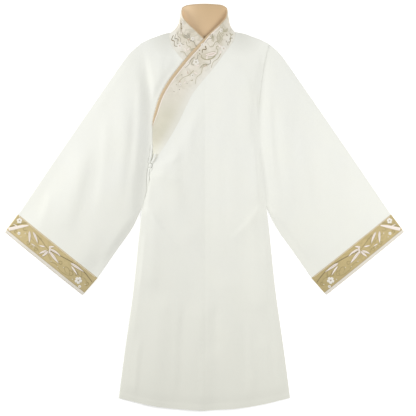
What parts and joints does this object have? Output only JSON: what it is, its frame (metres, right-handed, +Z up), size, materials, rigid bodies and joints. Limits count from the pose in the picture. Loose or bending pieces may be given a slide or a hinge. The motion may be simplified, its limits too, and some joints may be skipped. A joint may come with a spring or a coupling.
{
  "type": "hanfu robe",
  "caption": "Cross-collar robe laid flat, left front over right, with wide straight sleeves, brocade collar and cuffs, satin piping and side ties.",
  "frame": {"origin": "on the surface that the robe lies on, under the middle of its overall box", "axes": "+Z up from that surface, +Y from the hem to the neck, +X to the wearer's left"},
  "size_m": [1.2748, 1.3012, 0.0176],
  "materials": {
    "cloth": "smooth matte woven cloth, off-white",
    "brocade": "pale beige brocade with a soft sheen",
    "gold_brocade": "olive-gold brocade with a soft sheen",
    "satin": "tan satin",
    "edging": "white woven edging"
  },
  "bodies": {
    "root": {"back_left": "cloth", "back_right": "cloth", "front_left": "cloth", "front_right": "cloth", "lap_left": "cloth", "lap_right": "cloth", "sleeve_left": "cloth", "sleeve_right": "cloth", "cuff_left": "gold_brocade", "cuff_right": "gold_brocade", "cuff_edge_left": "edging", "cuff_edge_right": "edging", "collar": "brocade", "collar_lining": "satin", "piping": "satin", "tie_outer": "cloth", "tie_inner": "cloth", "tie_end_long": "cloth", "tie_end_short": "cloth", "tie_knot": "cloth"}
  },
  "joints": []
}
